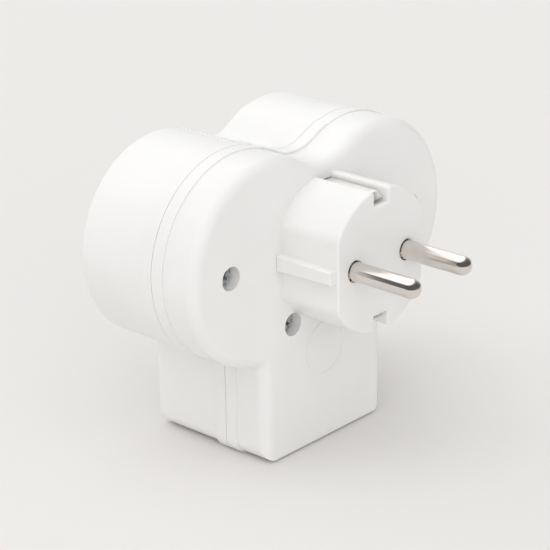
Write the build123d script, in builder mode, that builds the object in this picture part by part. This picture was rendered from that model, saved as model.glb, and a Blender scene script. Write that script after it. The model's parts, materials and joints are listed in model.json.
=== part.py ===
from build123d import *
from math import acos, atan2, cos, degrees, hypot, radians, sin, sqrt
import os

# Multi socket adapter: an earthed plug at the back, two earthed round wells and one flat two-pole
# socket at the front. It stands on its block, the pins point along -Y and the sockets face +Y.
# Sizes are in millimetres. Depths are counted from the face of the plug towards the sockets, and
# sketch coordinates from the axis of the plug, with X to the right seen from the plug side.

# Plug
pin_diameter = 4.8
pin_length = 19.0
pin_spacing = 19.0
pin_shank_diameter = 5.3
pin_step = 0.05
pin_clearance = 0.1
plug_diameter = 36.1
plug_flats = 31.2
flat_blend_radius = 4.0
plug_depth = 17.6
plug_skin = 2.4
plug_face_wall = 3.5
plug_edge_radius = 0.6
pin_boss_diameter = 8.6
rib_reach = 35.2
rib_root = 4.1
rib_tip = 3.3
rib_setback = 0.8
rib_edge_radius = 0.4
groove_width = 5.0
groove_depth = 4.3
groove_lip_radius = 0.9

# Outline of the housing
lobe_spacing = 39.9
lobe_diameter = 51.5
lobe_rise = 0.4
valley_radius = 14.5
front_valley_radius = 8.0
web_width = 24.0
web_step = 0.3
block_width = 44.0
axis_height = 51.8
junction_radius = 2.5

# Depth, walls and edges of the housing
housing_depth = 36.9
parting_depth = 13.0
parting_gap = 0.15
band_behind = 3.4
band_ahead = 3.3
band_step = 0.3
front_inset = 0.1
base_gap = 0.55
base_trim = 2.1
wall = 2.2
lip_height = 1.5
lip_clearance = 0.1
rear_edge_radius = 2.8
front_edge_radius = 0.8
corner_margin = 0.8
smallest_radius = 0.4
mark_diameter = 14.0
mark_line = 0.3
mark_depth = 0.1
mark_x = -0.4
mark_drop = 27.0

# Round wells and flat socket
well_diameter = 38.0
well_depth = 17.5
well_wall = 2.0
floor_thickness = 2.0
pin_line_angle = 135.0
land_clearance = 0.9
key_clearance = 0.7
pin_hole_diameter = 5.6
flat_width = 36.4
flat_height = 14.2
flat_end = 5.2
flat_depth = 15.0
flat_drop = 36.0
mouth_bevel = 0.5

# Contacts and busbars
bar_thickness = 0.8
bar_width = 5.0
drop_width = 3.2
drop_x = 4.9
neutral_clearance = 2.4
bar_gap = 3.4
grip_clearance = 0.05
sleeve_wall = 0.7
sleeve_base = 1.0
sleeve_gap = 0.2
slit_width = 0.8
slit_base = 1.6
collar_length = 3.0
collar_wall = 1.2
collar_clearance = 0.25
spigot_diameter = 2.4
spigot_clearance = 0.05
rivet_diameter = 4.0
rivet_height = 0.6
pin_collar_diameter = 7.0
pin_collar_height = 1.0
pin_neck_diameter = 4.2

# Earth strips
strip_thickness = 0.6
strip_bend = 0.8
slot_clearance = 0.15
bracket_width = 4.4
bracket_setback = 1.7
bracket_rise = 2.25
bracket_hook = 1.6
bracket_drop = 1.2
yoke_width = 6.0
yoke_bend = 1.0
clip_offset = 1.2
clip_bow = 1.0
clip_foot = 2.0
clip_rise = 6.0
clip_fall = 5.0
clip_room = 1.0
pad_wall = 1.4
earth_link_inset = 3.0
earth_post_diameter = 3.5

# Screws
outer_screw_x = 33.0
outer_screw_z = 0.7
inner_screw_x = 11.8
inner_screw_z = -17.4
screw_diameter = 3.0
screw_length = 10.2
screw_clearance = 0.2
thread_clearance = 0.05
head_diameter = 5.5
head_height = 2.0
head_sink = 2.6
head_clearance = 0.2
head_dome = 0.3
recess_length = 3.2
recess_width = 0.8
recess_depth = 1.1
boss_wall = 1.2
boss_floor = 1.6
post_diameter = 6.8
pilot_room = 0.5

# Half sizes and places worked out from the sizes above
pin_radius = pin_diameter / 2
pin_shank_radius = pin_shank_diameter / 2
pin_x = pin_spacing / 2
plug_radius = plug_diameter / 2
lobe_x = lobe_spacing / 2
lobe_radius = lobe_diameter / 2
well_radius = well_diameter / 2
base_corner_radius = rear_edge_radius + corner_margin
overall_depth = pin_length + plug_depth + housing_depth
face_y = pin_length - overall_depth / 2

inner_face = plug_depth + wall
parting = plug_depth + parting_depth
front_face = plug_depth + housing_depth
well_floor = front_face - well_depth
well_back = well_floor - floor_thickness
flat_floor = front_face - flat_depth
flat_back = flat_floor - floor_thickness
neutral_back = inner_face + neutral_clearance
live_back = neutral_back + bar_thickness + bar_gap
head_seat = plug_depth + head_sink + head_height
boss_end = head_seat + boss_floor
head_bore_radius = head_diameter / 2 + head_clearance
sleeve_bore = pin_radius + grip_clearance
sleeve_radius = sleeve_bore + sleeve_wall
arm_z = plug_radius - groove_depth + bracket_rise

TOWARDS_SOCKETS = (0, 1, 0)
TOWARDS_PLUG = (0, -1, 0)
REAR_END = 0
FRONT_END = -1
SIDES = (-1, 1)

well_centres = [(side * lobe_x, lobe_rise) for side in SIDES]
outer_screws = [(side * outer_screw_x, outer_screw_z) for side in SIDES]
inner_screws = [(side * inner_screw_x, inner_screw_z) for side in SIDES]
screw_points = outer_screws + inner_screws


def polar(centre, radius, angle):
    """The point at a radius and an angle in degrees from a centre."""
    turn = radians(angle)
    return (centre[0] + radius * cos(turn), centre[1] + radius * sin(turn))


live_points = [polar(centre, pin_x, pin_line_angle) for centre in well_centres]
neutral_points = [polar(centre, pin_x, pin_line_angle + 180) for centre in well_centres]
flat_live = (pin_x, -flat_drop)
flat_neutral = (-pin_x, -flat_drop)
earth_angle = pin_line_angle - 90


def across(depth):
    """Sketch plane square to the pins at a depth, seen from the plug side."""
    return Plane(origin=(0, face_y + depth, axis_height), x_dir=(1, 0, 0), z_dir=(0, -1, 0))


def lengthways(x, z):
    """Sketch plane along the pins, with depth across it and height up it."""
    return Plane(origin=(x, face_y, axis_height + z), x_dir=(0, 1, 0), z_dir=(1, 0, 0))


def pin_direction(x, z):
    """The axis of a turned piece that lies along the pins."""
    return Axis((x, face_y, axis_height + z), TOWARDS_SOCKETS)


def web(grow, step, valley):
    """Adds the filler between the lobes, whose top is a hollow that blends into both of them."""
    left, right = (-lobe_x, lobe_rise), (lobe_x, lobe_rise)
    reach = lobe_radius + web_step + valley
    rise = sqrt(reach**2 - lobe_x**2)
    edge = lobe_radius + step + grow
    start = degrees(acos((lobe_x - web_width / 2) / edge))
    touch = degrees(atan2(rise, lobe_x))
    shoulder = [polar(left, edge, angle) for angle in (start, (start + touch) / 2, touch)]
    mirrored = [(-x, z) for x, z in reversed(shoulder)]
    lowest = (0, lobe_rise + rise - (reach - edge))
    with BuildLine() as border:
        Line(left, shoulder[0])
        ThreePointArc(*shoulder)
        ThreePointArc(shoulder[2], lowest, mirrored[0])
        ThreePointArc(*mirrored)
        Line(mirrored[2], right)
        Line(right, left)
    make_face(border.edges())


def housing(grow, valley=valley_radius, drop=0):
    """Adds the outline of the housing: two lobes, the web and the block, grown on every side.

    Only an outline that is grown, as for the raised band, reaches down to the table."""
    stand = 0 if grow > 0 else base_gap - grow
    bottom = stand - axis_height - drop
    with Locations(*well_centres):
        Circle(lobe_radius + grow)
    web(grow, 0, valley)
    with Locations((0, (bottom + lobe_rise) / 2)):
        Rectangle(block_width + 2 * grow, lobe_rise - bottom)
    fillet(vertices().group_by(Axis.Y)[1], junction_radius - grow)
    fillet(vertices().group_by(Axis.Y)[0], max(base_corner_radius + grow, smallest_radius))


def stepped_web(grow, valley=valley_radius):
    """Adds the outline of the web where it stands a little proud of the lobes."""
    web(grow, web_step, valley)


def front_housing(grow):
    """Adds the outline of the front half, whose valley is deeper."""
    housing(grow, front_valley_radius)


def front_web(grow):
    """Adds the outline of the web of the front half."""
    stepped_web(grow, front_valley_radius)


def lowered_housing(grow):
    """Adds the outline of the housing with its base lowered, to be trimmed later."""
    housing(grow, drop=base_trim)


def plug_outline(grow):
    """Adds the round outline of the plug with its two flats, which blend into it."""
    Circle(plug_radius + grow)
    Rectangle(plug_flats + 2 * grow, plug_diameter + 2 * grow, mode=Mode.INTERSECT)
    fillet(vertices(), max(flat_blend_radius + grow, smallest_radius))


def grooved_plug(grow):
    """Adds the outline of the plug with the earth grooves, whose lips are rounded."""
    plug_outline(grow)
    with Locations((0, plug_radius), (0, -plug_radius)):
        Rectangle(groove_width, 2 * groove_depth, mode=Mode.SUBTRACT)
    lips = vertices().filter_by(lambda corner: abs(corner.Y) > plug_radius - groove_depth / 2)
    fillet(lips, groove_lip_radius)


def flat_socket(grow):
    """Adds the outline of the flat socket, a long slot with bevelled ends."""
    half_width = flat_width / 2 + grow
    half_height = flat_height / 2 + grow
    half_end = flat_end / 2 + grow * (sqrt(2) - 1)
    top = half_width - (half_height - half_end)
    quarter = [(half_width, half_end), (top, half_height)]
    upper = quarter + [(-x, z) for x, z in reversed(quarter)]
    lower = [(-x, -z) for x, z in upper]
    with Locations((0, -flat_drop)):
        Polygon(*upper, *lower, align=None)


def strip(start, end, width):
    """Adds a round-ended strip between two points."""
    run = (end[0] - start[0], end[1] - start[1])
    with Locations(((start[0] + end[0]) / 2, (start[1] + end[1]) / 2)):
        SlotCenterToCenter(hypot(*run), width, rotation=degrees(atan2(run[1], run[0])))


def rounded_prism(outline, grow, start, end, rounded_end, radius):
    """A prism of an outline between two depths, with the edges of one end rounded."""
    with BuildPart() as prism:
        with BuildSketch(across(start)):
            outline(grow)
        extrude(amount=end - start, dir=TOWARDS_SOCKETS)
        fillet(edges().group_by(Axis.Y)[rounded_end], radius)
    return prism.part


def write(piece, label):
    """Names a finished piece and writes it to its own file."""
    piece.label = label
    export_step(piece, f"parts/{label}.step")


os.makedirs("parts", exist_ok=True)

# Body of the plug: flats with a rib on each side, and a groove for the earth strip above and below
grooved_prism = rounded_prism(grooved_plug, 0, 0, plug_depth, REAR_END, plug_edge_radius)
with BuildPart() as ribs:
    with BuildSketch(lengthways(0, 0)):
        with BuildLine():
            Polyline(
                (rib_setback, rib_tip / 2),
                (plug_depth, rib_root / 2),
                (plug_depth, -rib_root / 2),
                (rib_setback, -rib_tip / 2),
                close=True,
            )
        make_face()
    extrude(amount=rib_reach / 2, both=True)
    rib_ends = faces().sort_by(Axis.X)
    fillet(rib_ends[0].edges() + rib_ends[-1].edges(), rib_edge_radius)
with BuildPart() as plug_body:
    add(grooved_prism)
    add(ribs.part)

# Rear cover: soft-edged half shell with the plug, screw bosses and locating lip moulded in one
rear_prism = rounded_prism(lowered_housing, 0, plug_depth, parting, REAR_END, rear_edge_radius)
with BuildPart() as rear_cover:
    add(rear_prism)
    with BuildSketch(across(plug_depth)):
        housing(0)
    extrude(amount=parting_depth, dir=TOWARDS_SOCKETS, mode=Mode.INTERSECT)
    with BuildSketch(across(parting - band_behind)):
        housing(band_step)
        stepped_web(band_step)
    extrude(amount=band_behind, dir=TOWARDS_SOCKETS)
    with BuildSketch(across(parting)):
        housing(-wall / 2)
    extrude(amount=lip_height, dir=TOWARDS_SOCKETS)
    with BuildSketch(across(inner_face)):
        housing(-wall)
    extrude(amount=parting + lip_height - inner_face, dir=TOWARDS_SOCKETS, mode=Mode.SUBTRACT)
    add(plug_body.part)
    # The plug is cored out from inside, leaving posts for the pins and walls round the grooves
    with BuildSketch(across(plug_face_wall)):
        plug_outline(-plug_skin)
        with Locations((-pin_x, 0), (pin_x, 0)):
            Circle(pin_boss_diameter / 2, mode=Mode.SUBTRACT)
        with Locations((0, plug_radius), (0, -plug_radius)):
            Rectangle(
                groove_width + 2 * plug_skin, 2 * (groove_depth + plug_skin), mode=Mode.SUBTRACT
            )
    extrude(amount=inner_face - plug_face_wall, dir=TOWARDS_SOCKETS, mode=Mode.SUBTRACT)
    with BuildSketch(across(0)):
        with Locations((-pin_x, 0), (pin_x, 0)):
            Circle(pin_shank_radius + pin_clearance)
    extrude(amount=inner_face, dir=TOWARDS_SOCKETS, mode=Mode.SUBTRACT)
    # Slots that let the earth strip through into the housing
    with BuildSketch(across(plug_depth)):
        with Locations((0, arm_z), (0, -arm_z)):
            Rectangle(bracket_width + 2 * slot_clearance, strip_thickness + 2 * slot_clearance)
    extrude(amount=wall, dir=TOWARDS_SOCKETS, mode=Mode.SUBTRACT)
    # Bosses with a deep hole for each screw head
    with BuildSketch(across(plug_depth + wall / 2)):
        with Locations(*screw_points):
            Circle(head_bore_radius + boss_wall)
    extrude(amount=boss_end - plug_depth - wall / 2, dir=TOWARDS_SOCKETS)
    with BuildSketch(across(plug_depth)):
        with Locations(*screw_points):
            Circle(head_bore_radius)
    extrude(amount=head_seat - plug_depth, dir=TOWARDS_SOCKETS, mode=Mode.SUBTRACT)
    with BuildSketch(across(head_seat)):
        with Locations(*screw_points):
            Circle(screw_diameter / 2 + screw_clearance)
    extrude(amount=boss_floor, dir=TOWARDS_SOCKETS, mode=Mode.SUBTRACT)
    # Fine ring left by a round insert of the mould
    with BuildSketch(across(plug_depth)):
        with Locations((mark_x, -mark_drop)):
            Circle(mark_diameter / 2)
            Circle(mark_diameter / 2 - mark_line, mode=Mode.SUBTRACT)
    extrude(amount=mark_depth, dir=TOWARDS_SOCKETS, mode=Mode.SUBTRACT)
write(rear_cover.part, "rear_cover")

# Section of a round well: two flat lands on the pin line, each with a keyway for a plug's rib
with BuildSketch() as well_section:
    Rectangle(plug_flats + 2 * land_clearance, well_diameter, rotation=pin_line_angle)
    Rectangle(well_diameter, rib_root + 2 * key_clearance, rotation=pin_line_angle)
    Circle(well_radius, mode=Mode.INTERSECT)

# Front cover: half shell with the wells, the flat socket, contact collars and screw posts
front_start = parting + parting_gap
front_prism = rounded_prism(
    front_housing, -front_inset, front_start, front_face, FRONT_END, front_edge_radius
)
web_prism = rounded_prism(
    front_web, -front_inset, front_start, front_face, FRONT_END, front_edge_radius
)
clip_radius = well_radius + clip_offset
clip_tip = well_floor + clip_foot + clip_rise + clip_fall
pad_reach = clip_radius + clip_room + pad_wall
clip_inner = well_radius - clip_bow - clip_room
clip_outer = clip_radius + clip_room
clip_angles = (earth_angle, earth_angle + 180)
pad_points = [
    polar(centre, (well_radius + pad_reach) / 2, angle)
    for centre in well_centres
    for angle in clip_angles
]
clip_points = [
    polar(centre, (clip_inner + clip_outer) / 2, angle)
    for centre in well_centres
    for angle in clip_angles
]
well_contacts = live_points + neutral_points
flat_contacts = [flat_live, flat_neutral]
with BuildPart() as front_cover:
    add(front_prism)
    add(web_prism)
    with BuildSketch(across(front_start)):
        housing(band_step)
        stepped_web(band_step)
    extrude(amount=band_ahead, dir=TOWARDS_SOCKETS)
    with BuildSketch(across(front_start)):
        front_housing(-wall)
    extrude(amount=front_face - wall - front_start, dir=TOWARDS_SOCKETS, mode=Mode.SUBTRACT)
    with BuildSketch(across(front_start)):
        housing(lip_clearance - wall / 2)
    extrude(amount=lip_height, dir=TOWARDS_SOCKETS, mode=Mode.SUBTRACT)
    # Walls round the wells and the flat socket, pads for the earth clips and posts for the screws
    with BuildSketch(across(well_back)):
        with Locations(*well_centres):
            Circle(well_radius + well_wall)
        with Locations(*pad_points):
            Rectangle(
                pad_reach - well_radius + 2 * well_wall,
                yoke_width + 2 * (slot_clearance + pad_wall),
                rotation=earth_angle,
            )
    extrude(amount=front_face - wall / 2 - well_back, dir=TOWARDS_SOCKETS)
    with BuildSketch(across(flat_back)):
        flat_socket(wall)
    extrude(amount=front_face - wall / 2 - flat_back, dir=TOWARDS_SOCKETS)
    with BuildSketch(across(boss_end)):
        with Locations(*screw_points):
            Circle(post_diameter / 2)
    extrude(amount=front_face - wall / 2 - boss_end, dir=TOWARDS_SOCKETS)
    # Collars that hold the mouths of the contacts, and the pin holes in front of them
    for back, floor, contacts in (
        (well_back, well_floor, well_contacts),
        (flat_back, flat_floor, flat_contacts),
    ):
        with BuildSketch(across(back - collar_length)):
            with Locations(*contacts):
                Circle(sleeve_radius + collar_clearance + collar_wall)
        extrude(amount=collar_length, dir=TOWARDS_SOCKETS)
        with BuildSketch(across(back - collar_length)):
            with Locations(*contacts):
                Circle(sleeve_radius + collar_clearance)
        extrude(amount=collar_length, dir=TOWARDS_SOCKETS, mode=Mode.SUBTRACT)
        with BuildSketch(across(back)):
            with Locations(*contacts):
                Circle(pin_hole_diameter / 2)
        extrude(amount=floor - back, dir=TOWARDS_SOCKETS, mode=Mode.SUBTRACT)
    with BuildSketch(across(well_floor)):
        with Locations(*well_centres):
            add(well_section.sketch)
    extrude(amount=well_depth, dir=TOWARDS_SOCKETS, mode=Mode.SUBTRACT)
    with BuildSketch(across(flat_floor)):
        flat_socket(0)
    extrude(amount=flat_depth, dir=TOWARDS_SOCKETS, mode=Mode.SUBTRACT)
    with BuildSketch(across(well_back)):
        with Locations(*clip_points):
            Rectangle(
                clip_outer - clip_inner, yoke_width + 2 * slot_clearance, rotation=earth_angle
            )
    extrude(amount=clip_tip + clip_room - well_back, dir=TOWARDS_SOCKETS, mode=Mode.SUBTRACT)
    with BuildSketch(across(boss_end)):
        with Locations(*screw_points):
            Circle(screw_diameter / 2 + thread_clearance)
    extrude(amount=screw_length - boss_floor + pilot_room, dir=TOWARDS_SOCKETS, mode=Mode.SUBTRACT)
    # Bevels at the mouths of the wells and the flat socket
    for centre in well_centres:
        with BuildSketch(across(front_face)):
            with Locations(centre):
                Circle(well_radius + mouth_bevel)
        extrude(amount=mouth_bevel, dir=TOWARDS_PLUG, taper=45, mode=Mode.SUBTRACT)
    with BuildSketch(across(front_face)):
        flat_socket(mouth_bevel)
    extrude(amount=mouth_bevel, dir=TOWARDS_PLUG, taper=45, mode=Mode.SUBTRACT)
write(front_cover.part, "front_cover")

# Plug pins: turned brass with a domed tip, a thicker shank and a collar in the plug, and a riveted end
rivet_radius = rivet_diameter / 2
spigot_radius = spigot_diameter / 2
collar_end = inner_face + pin_collar_height
for label, x, bar_back in (("plug_pin_left", -pin_x, neutral_back), ("plug_pin_right", pin_x, live_back)):
    bar_front = bar_back + bar_thickness
    dome = pin_radius * (1 - sqrt(0.5))
    with BuildPart() as pin:
        with BuildSketch(lengthways(x, 0)):
            with BuildLine():
                ThreePointArc(
                    (-pin_length, 0),
                    (dome - pin_length, pin_radius * sqrt(0.5)),
                    (pin_radius - pin_length, pin_radius),
                )
                Polyline(
                    (pin_radius - pin_length, pin_radius),
                    (-pin_step, pin_radius),
                    (-pin_step, pin_shank_radius),
                    (inner_face, pin_shank_radius),
                    (inner_face, pin_collar_diameter / 2),
                    (collar_end, pin_collar_diameter / 2),
                    (collar_end, pin_neck_diameter / 2),
                    (bar_back, pin_neck_diameter / 2),
                    (bar_back, spigot_radius),
                    (bar_front, spigot_radius),
                    (bar_front, rivet_radius),
                    (bar_front + rivet_height, rivet_radius),
                    (bar_front + rivet_height, 0),
                    (-pin_length, 0),
                )
            make_face()
        revolve(axis=pin_direction(x, 0))
    write(pin.part, label)

# Busbars: punched strips in two layers, live in front of neutral
live_left, live_right = live_points
neutral_left, neutral_right = neutral_points
bars = (
    ("live_busbar", live_back, live_left, live_right, 1, flat_live),
    ("neutral_busbar", neutral_back, neutral_left, neutral_right, -1, flat_neutral),
)
for label, bar_back, left_point, right_point, side, flat_point in bars:
    pin_point = (side * pin_x, 0)
    level = left_point[1]
    corner = (side * drop_x, -flat_drop)
    with BuildPart() as bar:
        with BuildSketch(across(bar_back)):
            strip(left_point, right_point, bar_width)
            strip(pin_point, (side * pin_x, level), bar_width)
            strip((side * drop_x, level), corner, drop_width)
            strip(corner, flat_point, bar_width)
            with Locations(left_point, right_point, flat_point, pin_point):
                Circle(spigot_radius + spigot_clearance, mode=Mode.SUBTRACT)
        extrude(amount=bar_thickness, dir=TOWARDS_SOCKETS)
    write(bar.part, label)

# Contacts: slit sleeves riveted to the busbars, with a flared mouth behind each pin hole
contacts = (
    ("left_live_contact", live_left, live_back, well_back),
    ("left_neutral_contact", neutral_left, neutral_back, well_back),
    ("right_live_contact", live_right, live_back, well_back),
    ("right_neutral_contact", neutral_right, neutral_back, well_back),
    ("flat_live_contact", flat_live, live_back, flat_back),
    ("flat_neutral_contact", flat_neutral, neutral_back, flat_back),
)
flare = sleeve_wall / 2
for label, point, bar_back, back in contacts:
    bar_front = bar_back + bar_thickness
    mouth = back - sleeve_gap
    with BuildPart() as contact:
        with BuildSketch(lengthways(*point)):
            with BuildLine():
                Polyline(
                    (bar_back - rivet_height, 0),
                    (bar_back - rivet_height, rivet_radius),
                    (bar_back, rivet_radius),
                    (bar_back, spigot_radius),
                    (bar_front, spigot_radius),
                    (bar_front, sleeve_radius),
                    (mouth, sleeve_radius),
                    (mouth, sleeve_bore + flare),
                    (mouth - flare, sleeve_bore),
                    (bar_front + sleeve_base, sleeve_bore),
                    (bar_front + sleeve_base, 0),
                    close=True,
                )
            make_face()
        revolve(axis=pin_direction(*point))
        with BuildSketch(across(bar_front + sleeve_base + slit_base)):
            with Locations(point):
                Rectangle(slit_width, 2 * sleeve_radius + slit_width)
                Rectangle(2 * sleeve_radius + slit_width, slit_width)
        extrude(amount=mouth - bar_front - sleeve_base - slit_base, dir=TOWARDS_SOCKETS, mode=Mode.SUBTRACT)
    write(contact.part, label)

# Earth bracket: one spring strip that lies in both grooves of the plug, hooked at its ends
cross_depth = inner_face + strip_bend
arm = [
    (bracket_setback, arm_z - bracket_drop),
    (bracket_setback + bracket_hook, arm_z),
    (cross_depth, arm_z),
]
with BuildPart() as bracket:
    with BuildSketch(lengthways(0, 0)):
        with BuildLine():
            FilletPolyline(*arm, *[(depth, -z) for depth, z in reversed(arm)], radius=strip_bend)
        trace(line_width=strip_thickness)
    extrude(amount=bracket_width / 2, both=True)
write(bracket.part, "plug_earth_bracket")

# Earth yokes: a strip behind each well, with a bowed clip up each side of it
yoke_depth = well_back - strip_thickness / 2
clip = [
    (clip_radius, clip_tip),
    (well_radius - clip_bow, well_floor + clip_foot + clip_rise),
    (clip_radius, well_floor + clip_foot),
    (clip_radius, yoke_depth),
]
earth_run = (cos(radians(earth_angle)), 0, sin(radians(earth_angle)))
earth_side = (-earth_run[2], 0, earth_run[0])
for label, centre in zip(("left_earth_yoke", "right_earth_yoke"), well_centres):
    middle = (centre[0], face_y, axis_height + centre[1])
    with BuildPart() as yoke:
        with BuildSketch(Plane(origin=middle, x_dir=earth_run, z_dir=earth_side)):
            with BuildLine():
                FilletPolyline(*clip, *[(-v, depth) for v, depth in reversed(clip)], radius=yoke_bend)
            trace(line_width=strip_thickness)
        extrude(amount=yoke_width / 2, both=True)
    write(yoke.part, label)

# Earth bar and post: the link from the bracket to both yokes
earth_bar_back = well_back - strip_thickness - bar_thickness
earth_link_radius = well_radius - earth_link_inset
link_left = polar(well_centres[0], earth_link_radius, earth_angle)
link_right = polar(well_centres[1], earth_link_radius, earth_angle + 180)
with BuildPart() as earth_bar:
    with BuildSketch(across(earth_bar_back)):
        strip(link_left, link_right, bar_width)
    extrude(amount=bar_thickness, dir=TOWARDS_SOCKETS)
write(earth_bar.part, "earth_bar")

post_start = cross_depth + strip_thickness / 2
with BuildPart() as earth_post:
    with BuildSketch(across(post_start)):
        with Locations((0, lobe_rise)):
            Circle(earth_post_diameter / 2)
    extrude(amount=earth_bar_back - post_start, dir=TOWARDS_SOCKETS)
write(earth_post.part, "earth_post")

# Screws: domed heads with a cross recess, deep in the bosses of the rear cover
screw_labels = ("outer_left_screw", "outer_right_screw", "inner_left_screw", "inner_right_screw")
head_top = head_seat - head_height
for label, point in zip(screw_labels, screw_points):
    with BuildPart() as screw:
        with BuildSketch(lengthways(*point)):
            with BuildLine():
                Polyline(
                    (head_top, 0),
                    (head_top, head_diameter / 2 - head_dome),
                    (head_top + head_dome, head_diameter / 2),
                    (head_seat, head_diameter / 2),
                    (head_seat, screw_diameter / 2),
                    (head_seat + screw_length, screw_diameter / 2),
                    (head_seat + screw_length, 0),
                    close=True,
                )
            make_face()
        revolve(axis=pin_direction(*point))
        with BuildSketch(across(head_top)):
            with Locations(point):
                Rectangle(recess_length, recess_width, rotation=pin_line_angle)
                Rectangle(recess_width, recess_length, rotation=pin_line_angle)
        extrude(amount=recess_depth, dir=TOWARDS_SOCKETS, mode=Mode.SUBTRACT)
    write(screw.part, label)
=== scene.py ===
"""Materials, floor, sky and camera for the multi socket adapter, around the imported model."""
import json
import math

import bpy
from mathutils import Matrix, Vector

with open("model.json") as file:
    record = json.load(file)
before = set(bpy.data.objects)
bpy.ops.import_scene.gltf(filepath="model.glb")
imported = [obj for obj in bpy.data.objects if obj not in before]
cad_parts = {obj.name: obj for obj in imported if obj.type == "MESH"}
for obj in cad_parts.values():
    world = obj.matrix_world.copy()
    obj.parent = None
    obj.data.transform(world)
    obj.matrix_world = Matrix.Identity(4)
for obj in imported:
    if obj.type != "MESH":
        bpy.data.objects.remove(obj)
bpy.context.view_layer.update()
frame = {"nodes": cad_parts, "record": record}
nodes = frame["nodes"]
scene = bpy.context.scene
scene.view_settings.view_transform = "Standard"


# Helpers for node materials

# Noise values outside this range take the end tone or the end roughness
noise_low, noise_high = 0.3, 0.7


def new_material(name, metallic=0.0):
    """A material with a principled shader; returns the material, its node tree and the shader."""
    material = bpy.data.materials.new(name)
    material.use_nodes = True
    tree = material.node_tree
    shader = tree.nodes["Principled BSDF"]
    shader.inputs["Metallic"].default_value = metallic
    return material, tree, shader


def noise(tree, scale, detail, stretch=(1, 1, 1)):
    """Noise in the part's own coordinates, in metres; a larger stretch is finer along that axis."""
    place = tree.nodes.new("ShaderNodeTexCoord")
    mapping = tree.nodes.new("ShaderNodeMapping")
    mapping.inputs["Scale"].default_value = stretch
    texture = tree.nodes.new("ShaderNodeTexNoise")
    texture.inputs["Scale"].default_value = scale
    texture.inputs["Detail"].default_value = detail
    tree.links.new(place.outputs["Object"], mapping.inputs["Vector"])
    tree.links.new(mapping.outputs["Vector"], texture.inputs["Vector"])
    return texture.outputs["Fac"]


def vary_roughness(tree, shader, value, low, high):
    """Lets the roughness follow a noise value."""
    spread = tree.nodes.new("ShaderNodeMapRange")
    spread.inputs["From Min"].default_value = noise_low
    spread.inputs["From Max"].default_value = noise_high
    spread.inputs["To Min"].default_value = low
    spread.inputs["To Max"].default_value = high
    tree.links.new(value, spread.inputs["Value"])
    tree.links.new(spread.outputs["Result"], shader.inputs["Roughness"])


def vary_color(tree, shader, value, low, high):
    """Lets the colour follow a noise value."""
    colors = tree.nodes.new("ShaderNodeValToRGB")
    first, last = colors.color_ramp.elements
    first.position, first.color = noise_low, (*low, 1)
    last.position, last.color = noise_high, (*high, 1)
    tree.links.new(value, colors.inputs["Fac"])
    tree.links.new(colors.outputs["Color"], shader.inputs["Base Color"])


def bump(tree, shader, value, strength, distance):
    """Raises a surface by a noise value; distance is in metres."""
    relief = tree.nodes.new("ShaderNodeBump")
    relief.inputs["Strength"].default_value = strength
    relief.inputs["Distance"].default_value = distance
    tree.links.new(value, relief.inputs["Height"])
    tree.links.new(relief.outputs["Normal"], shader.inputs["Normal"])


# Materials of the part


def plastic():
    """White moulded plastic with a soft gloss and a faint flow of tone."""
    material, tree, shader = new_material("white_plastic")
    flow = noise(tree, scale=45, detail=2)
    vary_color(tree, shader, flow, low=(0.835, 0.83, 0.82), high=(0.865, 0.86, 0.85))
    polish = noise(tree, scale=60, detail=2)
    vary_roughness(tree, shader, polish, low=0.31, high=0.37)
    shader.inputs["IOR"].default_value = 1.5
    shader.inputs["Specular IOR Level"].default_value = 0.36
    return material


def nickel():
    """Bright nickel plate with faint stains; the turning marks spread its shine along the pin."""
    material, tree, shader = new_material("nickel_plate", metallic=1.0)
    stains = noise(tree, scale=300, detail=4)
    vary_color(tree, shader, stains, low=(0.72, 0.67, 0.625), high=(0.8, 0.755, 0.715))
    turning = noise(tree, scale=500, detail=4, stretch=(1, 12, 1))
    vary_roughness(tree, shader, turning, low=0.11, high=0.16)
    shader.inputs["Anisotropic"].default_value = 0.95
    along_pin = tree.nodes.new("ShaderNodeCombineXYZ")
    along_pin.inputs["Y"].default_value = 1.0
    tree.links.new(along_pin.outputs["Vector"], shader.inputs["Tangent"])
    return material


def brass(name, low, high, relief):
    """Plain strip or turned brass, a little dulled, between two tones."""
    material, tree, shader = new_material(name, metallic=1.0)
    stains = noise(tree, scale=350, detail=4)
    vary_color(tree, shader, stains, low, high)
    polish = noise(tree, scale=700, detail=3, stretch=(1, 6, 1))
    vary_roughness(tree, shader, polish, low=0.29, high=0.4)
    marks = noise(tree, scale=1200, detail=2, stretch=(1, 8, 1))
    bump(tree, shader, marks, relief, distance=0.0001)
    return material


def zinc():
    """Blue zinc plate on the screws, with a fine mottle."""
    material, tree, shader = new_material("zinc_plate", metallic=1.0)
    mottle = noise(tree, scale=1400, detail=4)
    vary_color(tree, shader, mottle, low=(0.28, 0.31, 0.32), high=(0.76, 0.78, 0.78))
    polish = noise(tree, scale=1500, detail=3)
    vary_roughness(tree, shader, polish, low=0.14, high=0.25)
    return material


finishes = {
    "white_plastic": plastic(),
    "nickel": nickel(),
    "brass": brass("brass", (0.68, 0.5, 0.24), (0.8, 0.64, 0.36), relief=0.1),
    "earth_strip": brass("earth_strip", (0.86, 0.84, 0.81), (0.92, 0.9, 0.87), relief=0.01),
    "zinc_steel": zinc(),
}
for part in frame["record"]["subparts"]:
    piece = nodes[part["node"]]
    piece.data.materials.clear()
    piece.data.materials.append(finishes[part["material_slot"]])


# Floor


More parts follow.
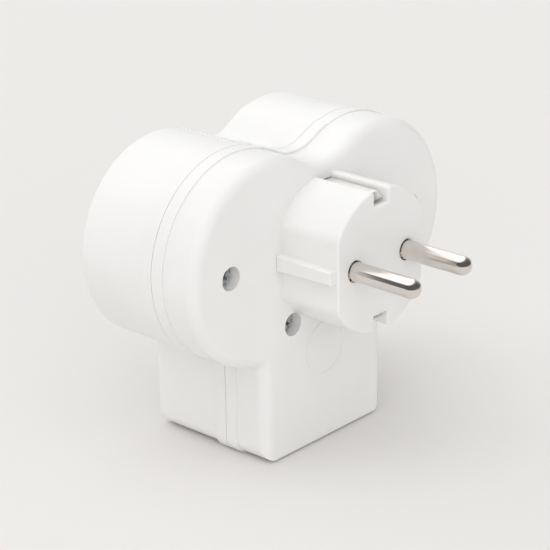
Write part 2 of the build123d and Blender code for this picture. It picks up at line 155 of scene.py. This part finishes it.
def floor():
    """A pale table top that keeps the object's shadow."""
    half = 3.0
    corners = [(-half, -half, 0), (half, -half, 0), (half, half, 0), (-half, half, 0)]
    mesh = bpy.data.meshes.new("floor")
    mesh.from_pydata(corners, [], [(0, 1, 2, 3)])
    material, _, shader = new_material("pale_table")
    shader.inputs["Base Color"].default_value = (0.815, 0.799, 0.781, 1)
    shader.inputs["Roughness"].default_value = 0.7
    shader.inputs["Specular IOR Level"].default_value = 0.12
    mesh.materials.append(material)
    top = bpy.data.objects.new("floor", mesh)
    scene.collection.objects.link(top)


# Light


def bearing(azimuth, elevation):
    """A direction from two angles in degrees: azimuth 0 is the plug's side, 90 the right of it."""
    turn, rise = math.radians(azimuth), math.radians(elevation)
    outward = math.cos(rise)
    return Vector((math.sin(turn) * outward, -math.cos(turn) * outward, math.sin(rise)))


def calculate(tree, operation, *values):
    """A math node on sockets or plain numbers."""
    node = tree.nodes.new("ShaderNodeMath")
    node.operation = operation
    for slot, value in zip(node.inputs, values):
        if isinstance(value, (int, float)):
            slot.default_value = value
        else:
            tree.links.new(value, slot)
    return node.outputs["Value"]


def towards(tree, direction, axis):
    """How far a direction points along an axis, from -1 to 1."""
    dot = tree.nodes.new("ShaderNodeVectorMath")
    dot.operation = "DOT_PRODUCT"
    dot.inputs[1].default_value = axis
    tree.links.new(direction, dot.inputs[0])
    return dot.outputs["Value"]


def glow(tree, direction, axis, tightness, level):
    """A soft glow in the sky about one axis."""
    facing = calculate(tree, "MAXIMUM", towards(tree, direction, axis), 0.0)
    return calculate(tree, "MULTIPLY", calculate(tree, "POWER", facing, tightness), level)


def disc(tree, direction, axis, outer, inner, level):
    """A lit disc in the sky about one axis, with a soft rim between two angles in degrees."""
    rim = tree.nodes.new("ShaderNodeMapRange")
    rim.interpolation_type = "SMOOTHSTEP"
    rim.inputs["From Min"].default_value = math.cos(math.radians(outer))
    rim.inputs["From Max"].default_value = math.cos(math.radians(inner))
    rim.inputs["To Min"].default_value = 0.0
    rim.inputs["To Max"].default_value = level
    tree.links.new(towards(tree, direction, axis), rim.inputs["Value"])
    return rim.outputs["Result"]


def sky():
    """A soft sky of a few glows; reflections show a dim room, a soft box and a pale backdrop."""
    wide, narrow = 5, 25
    glows = {
        "plug side": (bearing(0, 15), wide, 0.27),
        "left of the plug": (bearing(-45, 15), wide, 2.0),
        "left back": (bearing(-135, 15), wide, 0.8),
        "back": (bearing(180, 15), wide, 1.05),
        "right of the plug": (bearing(45, 15), wide, 0.6),
        "high right back": (bearing(135, 50), wide, 0.3),
        "high right": (bearing(90, 50), wide, 0.4),
        "ceiling": (bearing(0, 90), wide, 0.55),
        "lamp over the plug": (bearing(-20, 62), narrow, 1.2),
        "lamp on the left": (bearing(-110, 62), narrow, 2.2),
        "lamp overhead": (bearing(0, 90), narrow, 0.95),
    }
    room_level = 0.1
    world = bpy.data.worlds.new("sky")
    world.use_nodes = True
    tree = world.node_tree
    background = tree.nodes["Background"]
    background.inputs["Color"].default_value = (1, 1, 1, 1)
    direction = tree.nodes.new("ShaderNodeTexCoord").outputs["Generated"]
    glossy = tree.nodes.new("ShaderNodeLightPath").outputs["Is Glossy Ray"]
    total = 0.0
    for axis, tightness, level in glows.values():
        total = calculate(tree, "ADD", total, glow(tree, direction, axis, tightness, level))
    backdrop = glow(tree, direction, bearing(132, 21), tightness=4, level=0.95)
    soft_box = disc(tree, direction, bearing(180, 70), outer=47, inner=38, level=1.3)
    room = calculate(tree, "ADD", calculate(tree, "ADD", backdrop, soft_box), room_level)
    change = calculate(tree, "SUBTRACT", room, total)
    strength = calculate(tree, "MULTIPLY_ADD", change, glossy, total)
    tree.links.new(strength, background.inputs["Strength"])
    scene.world = world


# Camera


def camera():
    """The photograph's viewpoint, fitted to the pins, the plug and the outlines of the housing."""
    azimuth, elevation, roll = -47.59, 21.44, math.radians(-0.87)
    place = Vector((-0.3534, -0.3065, 0.2274))
    back = bearing(azimuth, elevation)
    level = bearing(azimuth + 90, 0)
    upright = back.cross(level)
    right = math.cos(roll) * level + math.sin(roll) * upright
    up = math.cos(roll) * upright - math.sin(roll) * level
    data = bpy.data.cameras.new("view")
    data.sensor_width = 36
    data.lens = 135.5
    data.clip_start = 0.01
    view = bpy.data.objects.new("view", data)
    turned = Matrix((right, up, back)).transposed().to_4x4()
    view.matrix_world = Matrix.Translation(place) @ turned
    scene.collection.objects.link(view)
    scene.camera = view


floor()
sky()
camera()
